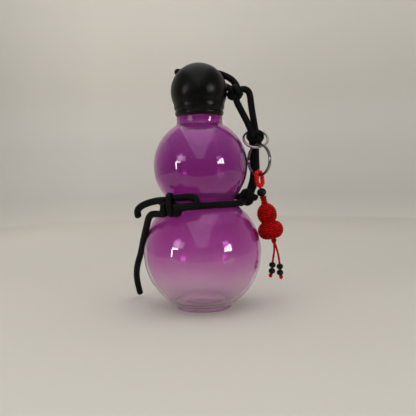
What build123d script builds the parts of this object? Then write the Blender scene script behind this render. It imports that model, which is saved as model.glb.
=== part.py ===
from build123d import *
import math
import os

# A blown glass bottle in the shape of a double gourd, with a ball-shaped screw cap, a braided cord
# harness tied through the cap and round the waist, and two metal rings that carry a knitted charm.
# Millimetres, Z up, origin on the bottle's axis where its foot ring stands. The front is towards -Y.

# Glass
LOWER_BULB_R = 49.0
LOWER_BULB_Z = 45.8
UPPER_BULB_R = 38.85
UPPER_BULB_Z = 117.85
GLASS_WALL = 2.5
WAIST_BLEND_R = 5.0
FOOT_R = 23.3
FOOT_INNER_R = 20.0
FOOT_EDGE_R = 0.8
FOOT_BLEND_R = 2.2
PUNT_DEPTH = 2.6
PUNT_SLOPE = 1.6
PUNT_MARK_R = 10.0
PUNT_MARK_DEPTH = 0.6
FLOOR_CORNER_R = 28.0
FLOOR_R = 20.0
FLOOR_Z = 6.2
FLOOR_RISE = 1.4
FLOOR_FLAT_R = 3.0
COLLAR_R = 18.9
COLLAR_TOP_Z = 158.4
COLLAR_EDGE_R = 1.1
NECK_BLEND_R = 2.5
NECK_INNER_R = 16.2
NECK_TAPER = 3.0
FINISH_R = 16.2
MOUTH_R = 13.4
MOUTH_Z = 171.3
LIP_EDGE_R = 0.7

# Cap
CAP_BALL_R = 23.15
CAP_BALL_Z = 178.7
CAP_BALL_START_R = 21.6
CAP_SHOULDER_R = 20.8
CAP_SHOULDER_Z = 167.4
CAP_UPPER_BAND_R = 20.45
CAP_UPPER_BAND_Z = 165.0
CAP_GROOVE_R = 19.45
CAP_GROOVE_Z = 162.8
CAP_GROOVE_HALF = 0.4
CAP_GROOVE_EDGE_R = 19.75
CAP_LOWER_BAND_R = 20.0
CAP_LOWER_BAND_Z = 160.9
CAP_BOTTOM_R = 19.3
CAP_BOTTOM_Z = 158.8
CAP_SOCKET_R = 17.9
CAP_SOCKET_Z = 174.4
CORD_HOLE_R = 3.1
CORD_HOLE_Y = 8.0
CORD_HOLE_Z = 195.7
LINER_BORE_R = 17.1
LINER_FLOOR = 1.0
LINER_INSET = 0.6
SEAL_R = 16.6
SEAL_Z = 171.35

# Cord and knots
CORD_D = 5.0
KNOT_R = 6.2
RING_KNOT_R = 5.8
BOW_KNOT_R = 6.8
WRAP_TAPER = 0.16
WRAP_VALLEY = 0.78
WRAP_END = 0.45

# Rings
UPPER_RING_R = 10.0
UPPER_RING_WIRE_R = 1.0
UPPER_RING_CENTRE = (46.1, 0.0, 139.3)
UPPER_RING_LEAN = 39.5
LOWER_RING_R = 12.7
LOWER_RING_CENTRE = (47.8, -6.3, 121.4)
LOWER_RING_FACING = (0.8, 0.6, 0.0)
LOWER_RING_WIRE = 1.7
LOWER_RING_STACK = 2.0
LOWER_RING_SEAM = 0.25

# Charm
CHARM_Y = LOWER_RING_CENTRE[1]
CHARM_LOOP_D = 3.3
CHARM_LOOP_BEND_R = 3.1
CHARM_LOOP_STRAIGHT = 5.1
CHARM_CORD_D = 1.4
CHARM_CORD_START = 0.5
CHARM_BEAD_R = 3.5
BEAD_BORE_R = 0.78
GOURD_TOP = (51.4, CHARM_Y, 91.2)
GOURD_TIP = (58.4, CHARM_Y, 56.4)
GOURD_STEM_R = 3.1
GOURD_NECK_R = 2.5
GOURD_UPPER_R = 8.1
GOURD_WAIST_R = 6.0
GOURD_LOWER_R = 10.6
TASSEL_KNOT_R = 1.9
STRING_D = 1.4
SMALL_BEAD_R = 2.5
SMALL_BEAD_PITCH = 5.02
END_KNOT_R = 1.3

os.makedirs("parts", exist_ok=True)


def save(shape, node):
    shape.label = node
    export_step(shape, "parts/" + node + ".step")


def outline(*edges):
    return make_face(Wire(list(edges)))


def turned(face):
    """The solid of a section drawn as radius and height, turned about its upright axis."""
    return revolve(Plane.XZ * face, Axis.Z)


def corner_radii(points):
    """The largest arc that each corner of a cord's route has room for."""
    radii = []
    for before, at, after in zip(points, points[1:], points[2:]):
        run_in = Vector(*at) - Vector(*before)
        run_out = Vector(*after) - Vector(*at)
        turn = math.radians(run_in.get_angle(run_out))
        radii.append(0.45 * min(run_in.length, run_out.length) / math.tan(turn / 2))
    return radii


def cord(node, points, diameter=CORD_D):
    """A round cord along straight runs joined by arcs. Its volume over section times length is printed."""
    radii = corner_radii(points)
    path = FilletPolyline(*points, radius=radii) if radii else Line(*points)
    tube = sweep(Plane(origin=path @ 0, z_dir=path % 0) * Circle(diameter / 2), path=path)
    share = tube.volume / (math.pi * diameter**2 / 4 * path.length)
    sizes = [round(radius, 1) for radius in radii]
    print(node, "length", round(path.length, 1), "radii", sizes, "share", round(share, 3))
    save(tube, node)


def knot(centre, direction, radius=KNOT_R, length=2 * KNOT_R, wraps=3):
    """A tied knot as its turns of cord: rounded wraps side by side, the middle one fullest."""
    pitch = length / wraps
    middle = (wraps - 1) / 2
    levels = [-length / 2 + i * pitch for i in range(wraps + 1)]
    valleys = [radius * WRAP_END] + [radius * WRAP_VALLEY] * (wraps - 1) + [radius * WRAP_END]
    edges = [Line((0, levels[0]), (valleys[0], levels[0]))]
    for i in range(wraps):
        crest = radius * (1 - WRAP_TAPER * abs(i - middle) / middle)
        start = (valleys[i], levels[i])
        end = (valleys[i + 1], levels[i + 1])
        edges.append(ThreePointArc(start, (crest, levels[i] + pitch / 2), end))
    edges.append(Line((valleys[-1], levels[-1]), (0, levels[-1])))
    edges.append(Line((0, levels[-1]), (0, levels[0])))
    return Plane(origin=centre, z_dir=direction) * turned(outline(*edges))


# Glass bottle: one blown piece, with a foot ring, a pushed-up base and a mouth inside the cap


def toward(centre, target, distance):
    """The point at this distance from a centre, on its line to the target, as radius and height."""
    step = Vector(*target) - Vector(*centre)
    point = Vector(*centre) + step.normalized() * distance
    return (point.X, point.Y)


def on_circle(centre, radius, degrees):
    angle = math.radians(degrees)
    return (centre[0] + radius * math.cos(angle), centre[1] + radius * math.sin(angle))


def bulb_height(radius, centre_z, r, side):
    """The height of a bulb's surface at this distance from the axis, above (1) or below (-1) its middle."""
    return centre_z + side * math.sqrt(radius**2 - r**2)


def waist_centre():
    """The centre of the round hollow between the bulbs, which touches both."""
    low = LOWER_BULB_R + WAIST_BLEND_R
    up = UPPER_BULB_R + WAIST_BLEND_R
    z = (low**2 - up**2 + UPPER_BULB_Z**2 - LOWER_BULB_Z**2) / (2 * (UPPER_BULB_Z - LOWER_BULB_Z))
    return (math.sqrt(low**2 - (z - LOWER_BULB_Z) ** 2), z)


LOWER_CENTRE = (0, LOWER_BULB_Z)
UPPER_CENTRE = (0, UPPER_BULB_Z)
WAIST = waist_centre()


def glass_outside():
    foot_r = FOOT_R + FOOT_BLEND_R
    foot = (foot_r, bulb_height(LOWER_BULB_R + FOOT_BLEND_R, LOWER_BULB_Z, foot_r, -1))
    neck_r = COLLAR_R + NECK_BLEND_R
    neck = (neck_r, bulb_height(UPPER_BULB_R + NECK_BLEND_R, UPPER_BULB_Z, neck_r, 1))
    low_start = toward(LOWER_CENTRE, foot, LOWER_BULB_R)
    low_end = toward(LOWER_CENTRE, WAIST, LOWER_BULB_R)
    up_start = toward(UPPER_CENTRE, WAIST, UPPER_BULB_R)
    up_end = toward(UPPER_CENTRE, neck, UPPER_BULB_R)
    edge = FOOT_EDGE_R
    foot_inner = FOOT_INNER_R + edge
    mark_z = PUNT_DEPTH + PUNT_MARK_DEPTH
    mark_end = (PUNT_MARK_R + PUNT_MARK_DEPTH, PUNT_DEPTH)
    collar_edge = COLLAR_TOP_Z - COLLAR_EDGE_R
    return [
        Line((0, mark_z), (PUNT_MARK_R, mark_z)),
        Line((PUNT_MARK_R, mark_z), mark_end),
        Line(mark_end, (FOOT_INNER_R - PUNT_SLOPE, PUNT_DEPTH)),
        Line((FOOT_INNER_R - PUNT_SLOPE, PUNT_DEPTH), (FOOT_INNER_R, edge)),
        ThreePointArc((FOOT_INNER_R, edge), on_circle((foot_inner, edge), edge, 225), (foot_inner, 0)),
        Line((foot_inner, 0), (FOOT_R - edge, 0)),
        ThreePointArc((FOOT_R - edge, 0), on_circle((FOOT_R - edge, edge), edge, -45), (FOOT_R, edge)),
        Line((FOOT_R, edge), (FOOT_R, foot[1])),
        ThreePointArc((FOOT_R, foot[1]), on_circle(foot, FOOT_BLEND_R, 150), low_start),
        ThreePointArc(low_start, (LOWER_BULB_R, LOWER_BULB_Z), low_end),
        ThreePointArc(low_end, (WAIST[0] - WAIST_BLEND_R, WAIST[1]), up_start),
        ThreePointArc(up_start, (UPPER_BULB_R, UPPER_BULB_Z), up_end),
        ThreePointArc(up_end, on_circle(neck, NECK_BLEND_R, 205), (COLLAR_R, neck[1])),
        Line((COLLAR_R, neck[1]), (COLLAR_R, collar_edge)),
        ThreePointArc(
            (COLLAR_R, collar_edge),
            on_circle((COLLAR_R - COLLAR_EDGE_R, collar_edge), COLLAR_EDGE_R, 45),
            (COLLAR_R - COLLAR_EDGE_R, COLLAR_TOP_Z),
        ),
        Line((COLLAR_R - COLLAR_EDGE_R, COLLAR_TOP_Z), (FINISH_R, COLLAR_TOP_Z)),
        Line((FINISH_R, COLLAR_TOP_Z), (FINISH_R, MOUTH_Z - LIP_EDGE_R)),
    ]


def glass_lip():
    low = MOUTH_Z - LIP_EDGE_R
    outer = FINISH_R - LIP_EDGE_R
    inner = MOUTH_R + LIP_EDGE_R
    return [
        ThreePointArc((FINISH_R, low), on_circle((outer, low), LIP_EDGE_R, 45), (outer, MOUTH_Z)),
        Line((outer, MOUTH_Z), (inner, MOUTH_Z)),
        ThreePointArc((inner, MOUTH_Z), on_circle((inner, low), LIP_EDGE_R, 135), (MOUTH_R, low)),
    ]


def glass_inside():
    low_r = LOWER_BULB_R - GLASS_WALL
    up_r = UPPER_BULB_R - GLASS_WALL
    taper_z = COLLAR_TOP_Z - NECK_TAPER
    shoulder = (NECK_INNER_R, bulb_height(up_r, UPPER_BULB_Z, NECK_INNER_R, 1))
    up_end = toward(UPPER_CENTRE, WAIST, up_r)
    low_end = toward(LOWER_CENTRE, WAIST, low_r)
    corner = (FLOOR_CORNER_R, bulb_height(low_r, LOWER_BULB_Z, FLOOR_CORNER_R, -1))
    top = FLOOR_Z + FLOOR_RISE
    return [
        Line((MOUTH_R, MOUTH_Z - LIP_EDGE_R), (MOUTH_R, COLLAR_TOP_Z)),
        Line((MOUTH_R, COLLAR_TOP_Z), (NECK_INNER_R, taper_z)),
        Line((NECK_INNER_R, taper_z), shoulder),
        ThreePointArc(shoulder, (up_r, UPPER_BULB_Z), up_end),
        ThreePointArc(up_end, (WAIST[0] - WAIST_BLEND_R - GLASS_WALL, WAIST[1]), low_end),
        ThreePointArc(low_end, (low_r, LOWER_BULB_Z), corner),
        ThreePointArc(corner, ((FLOOR_CORNER_R + FLOOR_R) / 2, FLOOR_Z + GLASS_WALL / 4), (FLOOR_R, FLOOR_Z)),
        ThreePointArc((FLOOR_R, FLOOR_Z), (FLOOR_R / 2, FLOOR_Z + 0.75 * FLOOR_RISE), (FLOOR_FLAT_R, top)),
        Line((FLOOR_FLAT_R, top), (0, top)),
        Line((0, top), (0, PUNT_DEPTH + PUNT_MARK_DEPTH)),
    ]


save(turned(outline(*glass_outside(), *glass_lip(), *glass_inside())), "glass_bottle")

# Cap: a moulded ball that narrows to a skirt of two soft bands, with a cross hole for the cord


def cap_section():
    ball_start = (CAP_BALL_START_R, bulb_height(CAP_BALL_R, CAP_BALL_Z, CAP_BALL_START_R, -1))
    groove_low = (CAP_GROOVE_EDGE_R, CAP_GROOVE_Z - CAP_GROOVE_HALF)
    groove_high = (CAP_GROOVE_EDGE_R, CAP_GROOVE_Z + CAP_GROOVE_HALF)
    shoulder = (CAP_SHOULDER_R, CAP_SHOULDER_Z)
    top = CAP_BALL_Z + CAP_BALL_R
    return outline(
        Line((CAP_SOCKET_R, CAP_BOTTOM_Z), (CAP_BOTTOM_R, CAP_BOTTOM_Z)),
        ThreePointArc((CAP_BOTTOM_R, CAP_BOTTOM_Z), (CAP_LOWER_BAND_R, CAP_LOWER_BAND_Z), groove_low),
        ThreePointArc(groove_low, (CAP_GROOVE_R, CAP_GROOVE_Z), groove_high),
        ThreePointArc(groove_high, (CAP_UPPER_BAND_R, CAP_UPPER_BAND_Z), shoulder),
        Line(shoulder, ball_start),
        ThreePointArc(ball_start, (CAP_BALL_R, CAP_BALL_Z), (0, top)),
        Line((0, top), (0, CAP_SOCKET_Z)),
        Line((0, CAP_SOCKET_Z), (CAP_SOCKET_R, CAP_SOCKET_Z)),
        Line((CAP_SOCKET_R, CAP_SOCKET_Z), (CAP_SOCKET_R, CAP_BOTTOM_Z)),
    )


def disc(radius, low, high):
    return Pos(0, 0, (low + high) / 2) * Cylinder(radius, high - low)


hole = Plane(origin=(0, CORD_HOLE_Y, CORD_HOLE_Z), z_dir=(1, 0, 0)) * Cylinder(CORD_HOLE_R, 3 * CAP_BALL_R)
save(turned(cap_section()) - hole, "cap_shell")

liner_low = CAP_BOTTOM_Z + LINER_INSET
bore_top = CAP_SOCKET_Z - LINER_FLOOR
save(disc(CAP_SOCKET_R, liner_low, CAP_SOCKET_Z) - disc(LINER_BORE_R, liner_low, bore_top), "cap_liner")
save(disc(SEAL_R, SEAL_Z, bore_top), "cap_seal")

# Cord harness: one braided cord through the cap, knotted at the cap, at the ring and at the waist

cord(
    "cap_cord_loop",
    [
        (32.4, 2.4, 183.0),
        (30.2, 4.2, 187.8),
        (26.0, 6.4, 192.6),
        (19.5, CORD_HOLE_Y, CORD_HOLE_Z - 0.3),
        (-18.0, CORD_HOLE_Y, CORD_HOLE_Z + 0.4),
        (-16.8, 18.0, 198.0),
        (-7.0, 26.0, 195.4),
        (6.5, 28.0, 192.0),
        (18.5, 22.0, 188.0),
        (24.2, 13.5, 184.0),
        (27.8, 4.6, 180.4),
    ],
)
save(knot((30.7, 1.0, 178.6), (0.6, 0.0, -0.8)), "cap_knot")
cord("strap_strand_inner", [(30.4, -0.8, 170.6), (34.8, -1.3, 161.0), (40.4, -2, 150.0), (44.2, -2.0, 138.6)])
cord(
    "strap_strand_outer",
    [(39.8, 0.8, 181.0), (42.4, 0.7, 175.4), (44.8, 1.0, 164.6), (46.4, 1.6, 152.0), (46.9, 2.2, 144.2)],
)
save(knot((46.3, 1.7, 140.2), (0.0, 0.0, 1.0), RING_KNOT_R, 2 * RING_KNOT_R), "ring_knot")
cord(
    "strap_leg_front",
    [(46.7, 1.6, 134.6), (46.3, 3.0, 126.0), (47.0, 3.6, 114.0), (45.5, 2.4, 102.6), (41.4, 0.0, 94.4)],
)
cord(
    "strap_leg_back",
    [(45.3, 6.2, 136.0), (44.3, 8.8, 126.0), (45.0, 8.9, 114.0), (43.6, 7.6, 102.2), (39.6, 4.8, 93.8)],
)
save(knot((37.2, 0.0, 90.4), (0.0, 1.0, 0.0)), "waist_knot")
cord("waist_knot_end", [(41.4, -2.0, 91.0), (46.8, -2.6, 90.2)])
cord(
    "waist_cord_front",
    [
        (35.5, -3.5, 87.8),
        (30.4, -15.0, 86.8),
        (19.8, -26.0, 86.6),
        (7.0, -32.6, 86.5),
        (-6.5, -34.2, 86.2),
        (-20.6, -32.4, 85.0),
    ],
)
cord(
    "waist_cord_back",
    [
        (35.5, 4.0, 90.6),
        (30.5, 15.5, 91.2),
        (18.5, 28.5, 91.0),
        (1.5, 33.6, 90.2),
        (-15.5, 30.0, 89.0),
        (-28.5, 19.0, 87.4),
        (-35.0, 3.5, 86.0),
        (-36.0, -12.0, 85.0),
        (-27.2, -28.6, 84.4),
    ],
)
save(knot((-24.2, -32.2, 87.2), (0.0, 0.0, 1.0), BOW_KNOT_R, 2.15 * BOW_KNOT_R), "bow_knot")
cord("bow_loop", [(-21.0, -33.4, 93.6), (-3.4, -36.6, 95.0), (-3.4, -40.0, 87.0), (-20.4, -38.0, 86.2)])
cord("short_tail", [(-27.5, -30.0, 91.2), (-39.5, -25.0, 89.6), (-49.3, -21.6, 86.2), (-51.0, -20.2, 77.6)])
cord(
    "long_tail",
    [
        (-27.8, -32.0, 80.6),
        (-42.8, -22.0, 80.2),
        (-46.6, -12.5, 70.0),
        (-50.8, -1.0, 58.0),
        (-53.6, 11.0, 45.5),
        (-58.6, 22.0, 31.0),
        (-60.3, 31.5, 16.0),
        (-58.0, 37.5, 2.8),
    ],
)

# Rings: a welded ring that the strands run through, and linked to it a split ring of two flat turns

lean = math.radians(UPPER_RING_LEAN)
ring_axis = (0, -math.cos(lean), math.sin(lean))
ring_plane = Plane(origin=UPPER_RING_CENTRE, x_dir=(1, 0, 0), z_dir=ring_axis)
save(ring_plane * Torus(UPPER_RING_R, UPPER_RING_WIRE_R), "upper_ring")


def split_ring_section():
    """Two flat turns pressed together, with a seam all round between them."""
    turn = RectangleRounded(LOWER_RING_WIRE, LOWER_RING_STACK / 2, LOWER_RING_SEAM)
    core = Rectangle(LOWER_RING_WIRE - 2 * LOWER_RING_SEAM, LOWER_RING_STACK / 2)
    quarter = LOWER_RING_STACK / 4
    turns = Pos(LOWER_RING_R, quarter) * turn + Pos(LOWER_RING_R, -quarter) * turn
    return turns + Pos(LOWER_RING_R, 0) * core


save(Plane(origin=LOWER_RING_CENTRE, z_dir=LOWER_RING_FACING) * turned(split_ring_section()), "lower_ring")

# Charm: a whipped cord loop, a bead and a knitted gourd that ends in two beaded strings


def charm_loop():
    """A closed long loop round the lower ring's bottom, in the plane that the ring faces along."""
    bend = CHARM_LOOP_BEND_R
    low = -CHARM_LOOP_STRAIGHT
    path = Plane(origin=LOOP_TOP, x_dir=LOWER_RING_FACING, z_dir=(0.6, -0.8, 0.0)) * Wire(
        [
            ThreePointArc((-bend, 0), (0, bend), (bend, 0)),
            Line((bend, 0), (bend, low)),
            ThreePointArc((bend, low), (0, low - bend), (-bend, low)),
            Line((-bend, low), (-bend, 0)),
        ]
    )
    return sweep(Plane(origin=path @ 0, z_dir=path % 0) * Circle(CHARM_LOOP_D / 2), path=path)


def bead(centre, direction, radius):
    """A round bead with its threading hole."""
    whole = Sphere(radius) - Cylinder(BEAD_BORE_R, 3 * radius)
    return Plane(origin=centre, z_dir=direction) * whole


def gourd(length):
    """A flared stem, a round upper lobe, a pinched waist and a wide flattened lower lobe."""
    stem_end = (GOURD_NECK_R + 0.6, 6.0)
    waist_low = (GOURD_WAIST_R + 0.15, 21.5)
    upper_end = (GOURD_WAIST_R + 0.15, 20.7)
    lower_end = (7.6, length - 1.3)
    return turned(
        outline(
            Line((0, 0), (GOURD_STEM_R, 0)),
            ThreePointArc((GOURD_STEM_R, 0), (GOURD_NECK_R, 3.6), stem_end),
            ThreePointArc(stem_end, (GOURD_UPPER_R, 13.6), upper_end),
            ThreePointArc(upper_end, (GOURD_WAIST_R, 21.1), waist_low),
            ThreePointArc(waist_low, (GOURD_LOWER_R, 27.9), lower_end),
            ThreePointArc(lower_end, (4.6, length - 0.2), (1.2, length)),
            Line((1.2, length), (0, length)),
            Line((0, length), (0, 0)),
        )
    )


LOOP_TOP = (LOWER_RING_CENTRE[0], CHARM_Y, LOWER_RING_CENTRE[2] - LOWER_RING_R)
loop_low = LOOP_TOP[2] - CHARM_LOOP_STRAIGHT - CHARM_LOOP_BEND_R - CHARM_LOOP_D / 2
charm_top = Vector(LOOP_TOP[0] + CHARM_CORD_START, CHARM_Y, loop_low + CHARM_CORD_START)
charm_fall = (Vector(*GOURD_TOP) - charm_top).normalized()
gourd_span = Vector(*GOURD_TIP) - Vector(*GOURD_TOP)
gourd_axis = gourd_span.normalized()
tassel_knot = Vector(*GOURD_TIP) + gourd_axis * TASSEL_KNOT_R

save(charm_loop(), "charm_loop")
cord("charm_cord", [tuple(charm_top), GOURD_TOP], CHARM_CORD_D)
save(bead(charm_top + charm_fall * (CHARM_BEAD_R + 1.0), charm_fall, CHARM_BEAD_R), "charm_bead")
save(Plane(origin=GOURD_TOP, z_dir=gourd_axis) * gourd(gourd_span.length), "charm_gourd")
save(Pos(tassel_knot) * Sphere(TASSEL_KNOT_R), "tassel_knot")


def beaded_string(side, points, upper_bead_z):
    """One hanging string of the tassel, with its two beads and the tied end that keeps them on."""
    cord(side + "_string", points, STRING_D)
    low, high = Vector(*points[-1]), Vector(*points[-2])
    down = (low - high).normalized()
    upper = low + (high - low) * ((upper_bead_z - low.Z) / (high.Z - low.Z))
    lower = upper + down * SMALL_BEAD_PITCH
    save(bead(upper, down, SMALL_BEAD_R), side + "_upper_bead")
    save(bead(lower, down, SMALL_BEAD_R), side + "_lower_bead")
    end = lower + down * (SMALL_BEAD_R + END_KNOT_R)
    save(Pos(end) * Sphere(END_KNOT_R), side + "_end_knot")


beaded_string(
    "left",
    [(58.2, CHARM_Y, 52.1), (58.5, CHARM_Y, 43.5), (57.5, CHARM_Y, 35.0), (56.7, CHARM_Y, 25.6)],
    33.8,
)
beaded_string(
    "right",
    [(60.0, CHARM_Y, 52.6), (62.6, CHARM_Y, 44.5), (63.6, CHARM_Y, 35.0), (63.9, CHARM_Y, 24.4)],
    32.8,
)
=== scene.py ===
import math

import bmesh
import bpy
from mathutils import Matrix, Vector


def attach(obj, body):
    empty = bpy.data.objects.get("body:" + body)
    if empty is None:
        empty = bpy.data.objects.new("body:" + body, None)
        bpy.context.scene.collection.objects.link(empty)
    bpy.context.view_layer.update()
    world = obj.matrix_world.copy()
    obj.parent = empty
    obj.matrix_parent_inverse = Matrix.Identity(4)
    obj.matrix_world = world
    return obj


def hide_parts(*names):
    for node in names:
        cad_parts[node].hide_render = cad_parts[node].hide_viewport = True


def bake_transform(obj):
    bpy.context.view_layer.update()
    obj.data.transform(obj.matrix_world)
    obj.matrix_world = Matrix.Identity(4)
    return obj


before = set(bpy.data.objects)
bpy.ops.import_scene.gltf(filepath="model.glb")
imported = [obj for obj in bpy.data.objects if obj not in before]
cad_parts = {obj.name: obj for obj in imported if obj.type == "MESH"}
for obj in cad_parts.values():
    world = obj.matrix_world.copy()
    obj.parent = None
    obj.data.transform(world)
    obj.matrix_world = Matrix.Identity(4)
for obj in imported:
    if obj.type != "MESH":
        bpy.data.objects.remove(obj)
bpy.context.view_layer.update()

# Studio
# The bottle stands on pale warm-grey card that curves up all round it under a wide soft lamp and two window
# lamps. The card's colour holds painted shade near the bottle, where it bends up and towards its sides, most
# at the left, and painted light on the far floor and high on the wall. What it mirrors is a room, which only
# reflections show: the card's near part, dark walls, a lit strip of ceiling, a light wall and a window at
# each side.

CARD_FLAT_R = 0.9
CARD_BEND_R = 0.4
CARD_TOP_Z = 1.1
CARD_REACH = 1.7
CARD_TINT = (1.0, 0.955, 0.87)
# Painted shade and painted light on the card: its tone outward from the middle, and across from side to
# side.
CARD_PAINTED_SHADING_OUTWARD = [
    (0.0, 0.525), (0.3, 0.535), (0.6, 0.585), (0.88, 0.60), (0.96, 0.555),
    (1.1, 0.49), (1.26, 0.515), (1.36, 0.61), (1.43, 0.645),
]
CARD_HALF_WIDTH = 0.8
CARD_PAINTED_SHADING_ACROSS = [(-0.66, 0.80), (-0.5, 0.92), (-0.33, 1.0), (0.0, 0.965), (0.35, 0.88), (0.65, 0.85)]
CARD_GAIN = 1.09
CARD_CLOUD_SCALE = 3.0
BOTTLE_MIDDLE = (0.0, 0.0, 0.10)
MIRRORED_R = 1.4
MIRRORED_CARD = ((-0.55, -0.26, 0.0004), (0.7, 1.3, 0.0004))
MIRRORED_CEILING = ((-2.4, -6.0, 1.78), (2.4, 1.4, 1.78))
ROOM_MIDDLE = (0.0, -2.5, 0.35)
ROOM_SIZE = (5.0, 8.0, 2.9)
ROOM_TONED_FROM_Y = -6.4
ROOM_TONED_TO_Y = 1.4
CEILING_GLOW = 1.5
WINDOW_GLOW = 26.0
WALL_GLOW = 2.8
LEFT_WINDOW = [(-59.5, 2, 3.2, 13), (-54, 9, 13, 2.6)]
LEFT_WALL = [(-48, 17, 22, 11)]
RIGHT_WINDOW = [(42.5, 7, 3.6, 6.5), (48, 8, 4.2, 8.5), (54, 9, 4.6, 11)]
TOP_LAMP_WATTS = 9.0
WINDOW_LAMP_WATTS = 5.0
AIR_STRENGTH = 0.74
WELD = 1e-6


def arc(centre, radius, start, end, steps):
    """Points of a round stretch of a section, as (radius, height), from one angle to another in degrees."""
    turns = [math.radians(start + (end - start) * i / steps) for i in range(steps + 1)]
    return [(centre[0] + radius * math.cos(turn), centre[1] + radius * math.sin(turn)) for turn in turns]


def lathe(section, steps, closed=False):
    """A shape turned about the upright axis from a section given as (radius, height) points."""
    shape = bmesh.new()
    points = [shape.verts.new((radius, 0.0, height)) for radius, height in section]
    followers = points[1:] + points[:1] if closed else points[1:]
    lines = [shape.edges.new(pair) for pair in zip(points, followers)]
    bmesh.ops.spin(
        shape,
        geom=points + lines,
        cent=(0, 0, 0),
        axis=(0, 0, 1),
        dvec=(0, 0, 0),
        angle=2 * math.pi,
        steps=steps,
        use_merge=True,
    )
    bmesh.ops.remove_doubles(shape, verts=shape.verts, dist=WELD)
    bmesh.ops.recalc_face_normals(shape, faces=shape.faces)
    return shape


def new_finish(name, **sockets):
    """A node material whose shader has these sockets set, named with _ for a space."""
    finish = bpy.data.materials.new(name)
    finish.use_nodes = True
    shader = finish.node_tree.nodes["Principled BSDF"]
    for socket, value in sockets.items():
        shader.inputs[socket.replace("_", " ")].default_value = value
    return finish


def node(finish, kind, **inputs):
    """A new node in a finish, with these of its inputs set or joined to another node's output."""
    made = finish.node_tree.nodes.new("ShaderNode" + kind)
    for socket, value in inputs.items():
        into = made.inputs[socket.replace("_", " ")]
        if isinstance(value, bpy.types.NodeSocket):
            finish.node_tree.links.new(value, into)
        else:
            into.default_value = value
    return made


def drive(finish, output, socket):
    """Joins an output to the finish's shader."""
    finish.node_tree.links.new(output, finish.node_tree.nodes["Principled BSDF"].inputs[socket])


def object_place(finish):
    return finish.node_tree.nodes.new("ShaderNodeTexCoord").outputs["Object"]


def ramp(finish, factor, stops):
    """A colour ramp with these (place, colour) stops."""
    made = node(finish, "ValToRGB", Fac=factor)
    elements = made.color_ramp.elements
    while len(elements) < len(stops):
        elements.new(0.5)
    for element, (place, colour) in zip(elements, stops):
        element.position = place
        element.color = (*colour, 1.0)
    return made.outputs["Color"]


def greys(stops):
    """Stops for a ramp from (place, tone) pairs."""
    return [(place, (tone, tone, tone)) for place, tone in stops]


def new_object(shape, name, finish, crease=40.0):
    """A smooth-shaded object from a shape, with its edges sharper than the crease angle left sharp."""
    mesh = bpy.data.meshes.new(name)
    shape.to_mesh(mesh)
    shape.free()
    mesh.shade_smooth()
    mesh.set_sharp_from_angle(angle=math.radians(crease))
    mesh.materials.append(finish)
    made = bpy.data.objects.new(name, mesh)
    bpy.context.scene.collection.objects.link(made)
    return made


def lamp(name, place, target, width, height, watts):
    """A soft rectangular lamp turned towards a point."""
    data = bpy.data.lights.new(name, "AREA")
    data.shape = "RECTANGLE"
    data.size = width
    data.size_y = height
    data.energy = watts
    made = bpy.data.objects.new(name, data)
    made.location = place
    made.rotation_euler = (Vector(target) - Vector(place)).to_track_quat("-Z", "Y").to_euler()
    made.visible_camera = False
    made.visible_glossy = False
    bpy.context.scene.collection.objects.link(made)


def only_mirrored(piece):
    """Part of the studio that nothing but reflections show."""
    piece.visible_camera = False
    piece.visible_diffuse = False
    piece.visible_transmission = False
    piece.visible_shadow = False


def lit_panels(name, glow, panels):
    """Glowing flat panels round the bottle. Each is given in degrees: how far it lies to the right of the
    front and above the bottle's middle, and how wide and high it looks from there."""
    shape = bmesh.new()
    for across, above, width, height in panels:
        wide = 2 * MIRRORED_R * math.tan(math.radians(width / 2))
        high = 2 * MIRRORED_R * math.tan(math.radians(height / 2))
        seat = Matrix.Translation(BOTTLE_MIDDLE) @ Matrix.Rotation(math.radians(across), 4, "Z")
        seat = seat @ Matrix.Rotation(math.radians(-above), 4, "X") @ Matrix.Translation((0, -MIRRORED_R, 0))
        seat = seat @ Matrix.Rotation(math.pi / 2, 4, "X") @ Matrix.Diagonal((wide, high, 1, 1))
        bmesh.ops.create_grid(shape, x_segments=1, y_segments=1, size=0.5, matrix=seat)
    finish = new_finish(name, Base_Color=(0, 0, 0, 1), Emission_Color=(1, 1, 1, 1), Emission_Strength=glow)
    only_mirrored(new_object(shape, name, finish))


def lit_sheet(name, finish, low, high):
    """A flat level sheet between two corners."""
    shape = bmesh.new()
    span = Vector(high) - Vector(low)
    seat = Matrix.Translation((Vector(high) + Vector(low)) / 2) @ Matrix.Diagonal((span.x, span.y, 1, 1))
    bmesh.ops.create_grid(shape, x_segments=1, y_segments=1, size=0.5, matrix=seat)
    only_mirrored(new_object(shape, name, finish))


card_finish = new_finish("studio_card", Roughness=0.42)
card_place = object_place(card_finish)
card_distance = node(card_finish, "VectorMath", Vector=card_place)
card_distance.operation = "LENGTH"
card_outward = node(card_finish, "MapRange", Value=card_distance.outputs["Value"], From_Max=CARD_REACH)
# The card's colour carries painted shading: darker near the bottle, at the bend and towards the sides,
# lighter on the far floor and high wall.
outward_shading_stops = [
    (distance / CARD_REACH, [CARD_GAIN * tone * tint for tint in CARD_TINT])
    for distance, tone in CARD_PAINTED_SHADING_OUTWARD
]
card_sideways = node(card_finish, "SeparateXYZ", Vector=card_place).outputs["X"]
card_across = node(
    card_finish,
    "MapRange",
    Value=card_sideways,
    From_Min=-CARD_HALF_WIDTH,
    From_Max=CARD_HALF_WIDTH,
)
across_shading_stops = greys([(0.5 + x / 2 / CARD_HALF_WIDTH, tone) for x, tone in CARD_PAINTED_SHADING_ACROSS])
card_painted_shading = node(
    card_finish,
    "MixRGB",
    Fac=1.0,
    Color1=ramp(card_finish, card_outward.outputs["Result"], outward_shading_stops),
    Color2=ramp(card_finish, card_across.outputs["Result"], across_shading_stops),
)
card_painted_shading.blend_type = "MULTIPLY"
drive(card_finish, card_painted_shading.outputs["Color"], "Base Color")
card_cloud = node(card_finish, "TexNoise", Vector=card_place, Scale=CARD_CLOUD_SCALE, Detail=3.0)
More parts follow.
